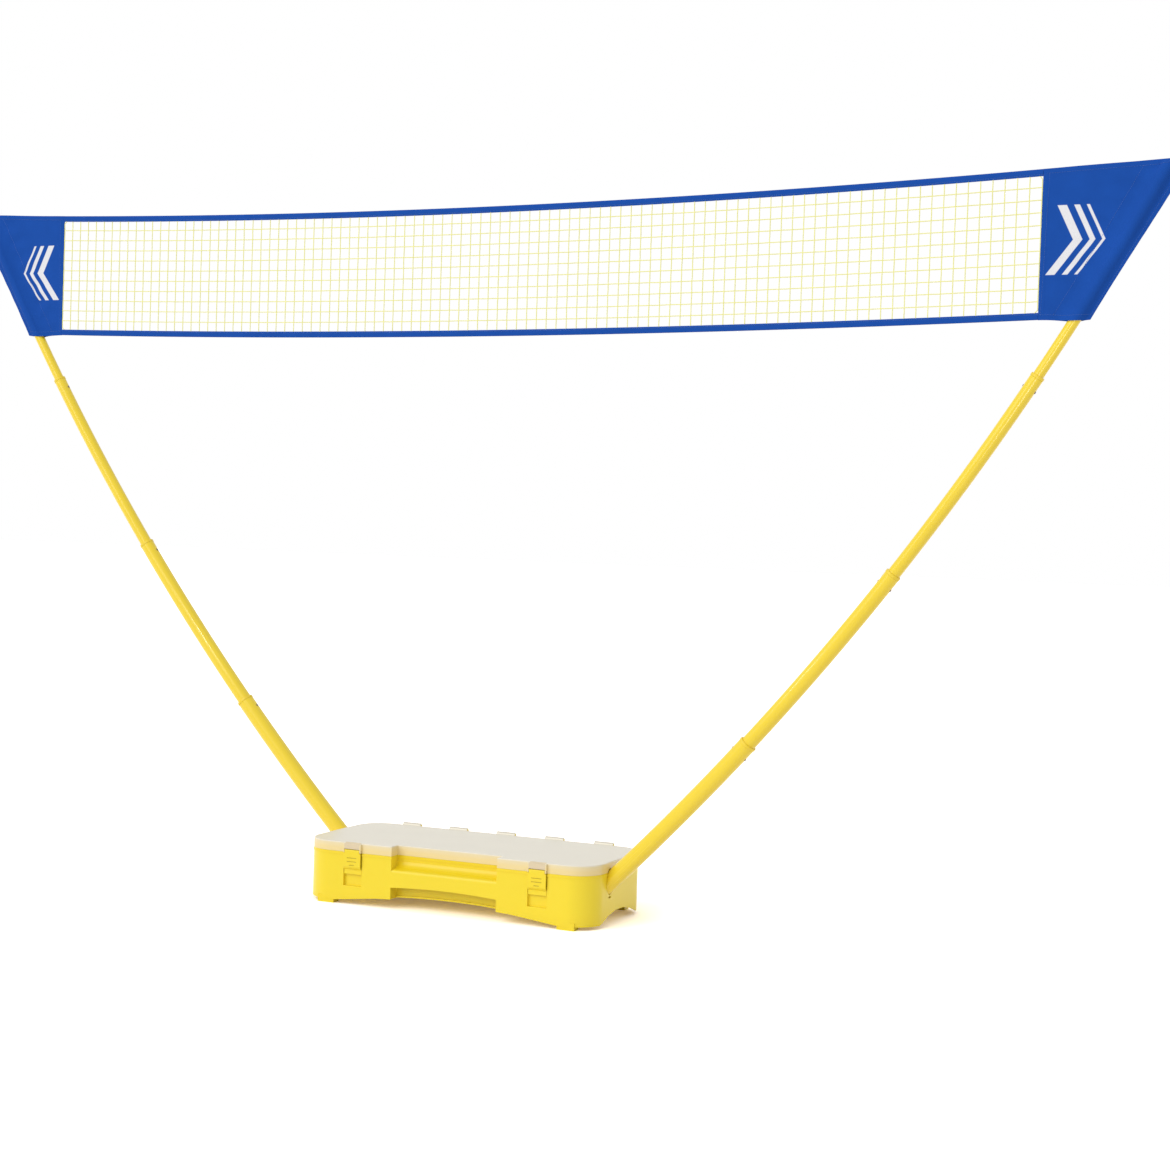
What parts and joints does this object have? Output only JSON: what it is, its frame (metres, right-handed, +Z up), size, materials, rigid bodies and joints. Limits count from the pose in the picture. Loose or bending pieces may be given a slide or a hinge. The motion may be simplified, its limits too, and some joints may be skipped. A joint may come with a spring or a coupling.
{
  "type": "badminton net post",
  "caption": "Free-standing badminton net: yellow carry case as the base, two bowed telescopic poles, net with blue end panels.",
  "frame": {"origin": "on the ground under the middle of the case", "axes": "+X along the net, +Y towards the lid's hinges, away from the grip and latches, +Z up"},
  "size_m": [2.98, 0.3222, 1.584],
  "materials": {
    "case_plastic": "satin moulded",
    "lid_plastic": "frosted see-through",
    "pole_plastic": "gloss",
    "spring_steel": "bright",
    "net_cord": "knotted twine",
    "net_fabric": "woven polyester"
  },
  "bodies": {
    "case": {"case_base": "case_plastic", "net_mesh": "net_cord", "net_top_band": "net_fabric", "net_bottom_band": "net_fabric", "net_panel_left": "net_fabric", "net_panel_right": "net_fabric", "socket_right": "case_plastic", "pole_right_foot_plug": "pole_plastic", "pole_right_section_1": "pole_plastic", "pole_right_collar_1": "pole_plastic", "socket_left": "case_plastic", "pole_left_foot_plug": "pole_plastic", "pole_left_section_1": "pole_plastic", "pole_left_collar_1": "pole_plastic"},
    "lid": {"case_lid": "lid_plastic", "latch_pin_left": "spring_steel", "latch_pin_right": "spring_steel"},
    "latch_left": {"latch_left": "case_plastic"},
    "latch_right": {"latch_right": "case_plastic"},
    "pole_right_2": {"pole_right_section_2": "pole_plastic", "pole_right_guide_2": "pole_plastic", "pole_right_collar_2": "pole_plastic"},
    "button_right_2_inner": {"pole_right_button_2_inner": "spring_steel"},
    "button_right_2_outer": {"pole_right_button_2_outer": "spring_steel"},
    "pole_right_3": {"pole_right_section_3": "pole_plastic", "pole_right_guide_3": "pole_plastic", "pole_right_collar_3": "pole_plastic"},
    "button_right_3_inner": {"pole_right_button_3_inner": "spring_steel"},
    "button_right_3_outer": {"pole_right_button_3_outer": "spring_steel"},
    "pole_right_4": {"pole_right_section_4": "pole_plastic", "pole_right_guide_4": "pole_plastic", "pole_right_tip_cap": "pole_plastic"},
    "button_right_4_inner": {"pole_right_button_4_inner": "spring_steel"},
    "button_right_4_outer": {"pole_right_button_4_outer": "spring_steel"},
    "pole_left_2": {"pole_left_section_2": "pole_plastic", "pole_left_guide_2": "pole_plastic", "pole_left_collar_2": "pole_plastic"},
    "button_left_2_inner": {"pole_left_button_2_inner": "spring_steel"},
    "button_left_2_outer": {"pole_left_button_2_outer": "spring_steel"},
    "pole_left_3": {"pole_left_section_3": "pole_plastic", "pole_left_guide_3": "pole_plastic", "pole_left_collar_3": "pole_plastic"},
    "button_left_3_inner": {"pole_left_button_3_inner": "spring_steel"},
    "button_left_3_outer": {"pole_left_button_3_outer": "spring_steel"},
    "pole_left_4": {"pole_left_section_4": "pole_plastic", "pole_left_guide_4": "pole_plastic", "pole_left_tip_cap": "pole_plastic"},
    "button_left_4_inner": {"pole_left_button_4_inner": "spring_steel"},
    "button_left_4_outer": {"pole_left_button_4_outer": "spring_steel"}
  },
  "joints": [
    {"name": "lid_hinge", "type": "hinge", "parent": "case", "child": "lid", "pos_m": [0, 0.15515, 0.137], "axis": [-1, 0, 0], "range_deg": [0, 100]},
    {"name": "latch_left_hinge", "type": "hinge", "parent": "lid", "child": "latch_left", "pos_m": [-0.224, -0.15845, 0.12], "axis": [-1, 0, 0], "range_deg": [0, 75]},
    {"name": "latch_right_hinge", "type": "hinge", "parent": "lid", "child": "latch_right", "pos_m": [0.224, -0.15845, 0.12], "axis": [-1, 0, 0], "range_deg": [0, 75]},
    {"name": "pole_right_2_telescope", "type": "hinge", "parent": "case", "child": "pole_right_2", "pos_m": [-3.86292, -0.05835, 4.36766], "axis": [0, 1, 0], "range_deg": [0, 3.9], "deforming": ["pole_right_button_2_inner", "pole_right_button_2_outer"]},
    {"name": "button_right_2_inner_spring", "type": "hinge", "parent": "pole_right_2", "child": "button_right_2_inner", "pos_m": [0.59632, -0.05835, 0.35382], "axis": [0, 1, 0], "range_deg": [0, 4], "stiffness_Nm_per_rad": 6},
    {"name": "button_right_2_outer_spring", "type": "hinge", "parent": "pole_right_2", "child": "button_right_2_outer", "pos_m": [0.59714, -0.05835, 0.35309], "axis": [0, -1, 0], "range_deg": [0, 4], "stiffness_Nm_per_rad": 6},
    {"name": "pole_right_3_telescope", "type": "hinge", "parent": "pole_right_2", "child": "pole_right_3", "pos_m": [-3.86292, -0.05835, 4.36766], "axis": [0, 1, 0], "range_deg": [0, 3.61], "deforming": ["pole_right_button_3_inner", "pole_right_button_3_outer"]},
    {"name": "button_right_3_inner_spring", "type": "hinge", "parent": "pole_right_3", "child": "button_right_3_inner", "pos_m": [0.89431, -0.05835, 0.7119], "axis": [0, 1, 0], "range_deg": [0, 4], "stiffness_Nm_per_rad": 6},
    {"name": "button_right_3_outer_spring", "type": "hinge", "parent": "pole_right_3", "child": "button_right_3_outer", "pos_m": [0.89518, -0.05835, 0.71124], "axis": [0, -1, 0], "range_deg": [0, 4], "stiffness_Nm_per_rad": 6},
    {"name": "pole_right_4_telescope", "type": "hinge", "parent": "pole_right_3", "child": "pole_right_4", "pos_m": [-3.86292, -0.05835, 4.36766], "axis": [0, 1, 0], "range_deg": [0, 3.75], "deforming": ["pole_right_button_4_inner", "pole_right_button_4_outer"]},
    {"name": "button_right_4_inner_spring", "type": "hinge", "parent": "pole_right_4", "child": "button_right_4_inner", "pos_m": [1.17178, -0.05835, 1.10461], "axis": [0, 1, 0], "range_deg": [0, 4], "stiffness_Nm_per_rad": 6},
    {"name": "button_right_4_outer_spring", "type": "hinge", "parent": "pole_right_4", "child": "button_right_4_outer", "pos_m": [1.17271, -0.05835, 1.10402], "axis": [0, -1, 0], "range_deg": [0, 4], "stiffness_Nm_per_rad": 6},
    {"name": "pole_left_2_telescope", "type": "hinge", "parent": "case", "child": "pole_left_2", "pos_m": [3.86292, 0.05165, 4.36766], "axis": [0, -1, 0], "range_deg": [0, 3.9], "deforming": ["pole_left_button_2_inner", "pole_left_button_2_outer"]},
    {"name": "button_left_2_inner_spring", "type": "hinge", "parent": "pole_left_2", "child": "button_left_2_inner", "pos_m": [-0.59632, 0.05165, 0.35382], "axis": [0, -1, 0], "range_deg": [0, 4], "stiffness_Nm_per_rad": 6},
    {"name": "button_left_2_outer_spring", "type": "hinge", "parent": "pole_left_2", "child": "button_left_2_outer", "pos_m": [-0.59714, 0.05165, 0.35309], "axis": [0, 1, 0], "range_deg": [0, 4], "stiffness_Nm_per_rad": 6},
    {"name": "pole_left_3_telescope", "type": "hinge", "parent": "pole_left_2", "child": "pole_left_3", "pos_m": [3.86292, 0.05165, 4.36766], "axis": [0, -1, 0], "range_deg": [0, 3.61], "deforming": ["pole_left_button_3_inner", "pole_left_button_3_outer"]},
    {"name": "button_left_3_inner_spring", "type": "hinge", "parent": "pole_left_3", "child": "button_left_3_inner", "pos_m": [-0.89431, 0.05165, 0.7119], "axis": [0, -1, 0], "range_deg": [0, 4], "stiffness_Nm_per_rad": 6},
    {"name": "button_left_3_outer_spring", "type": "hinge", "parent": "pole_left_3", "child": "button_left_3_outer", "pos_m": [-0.89518, 0.05165, 0.71124], "axis": [0, 1, 0], "range_deg": [0, 4], "stiffness_Nm_per_rad": 6},
    {"name": "pole_left_4_telescope", "type": "hinge", "parent": "pole_left_3", "child": "pole_left_4", "pos_m": [3.86292, 0.05165, 4.36766], "axis": [0, -1, 0], "range_deg": [0, 3.75], "deforming": ["pole_left_button_4_inner", "pole_left_button_4_outer"]},
    {"name": "button_left_4_inner_spring", "type": "hinge", "parent": "pole_left_4", "child": "button_left_4_inner", "pos_m": [-1.17178, 0.05165, 1.10461], "axis": [0, -1, 0], "range_deg": [0, 4], "stiffness_Nm_per_rad": 6},
    {"name": "button_left_4_outer_spring", "type": "hinge", "parent": "pole_left_4", "child": "button_left_4_outer", "pos_m": [-1.17271, 0.05165, 1.10402], "axis": [0, 1, 0], "range_deg": [0, 4], "stiffness_Nm_per_rad": 6}
  ]
}
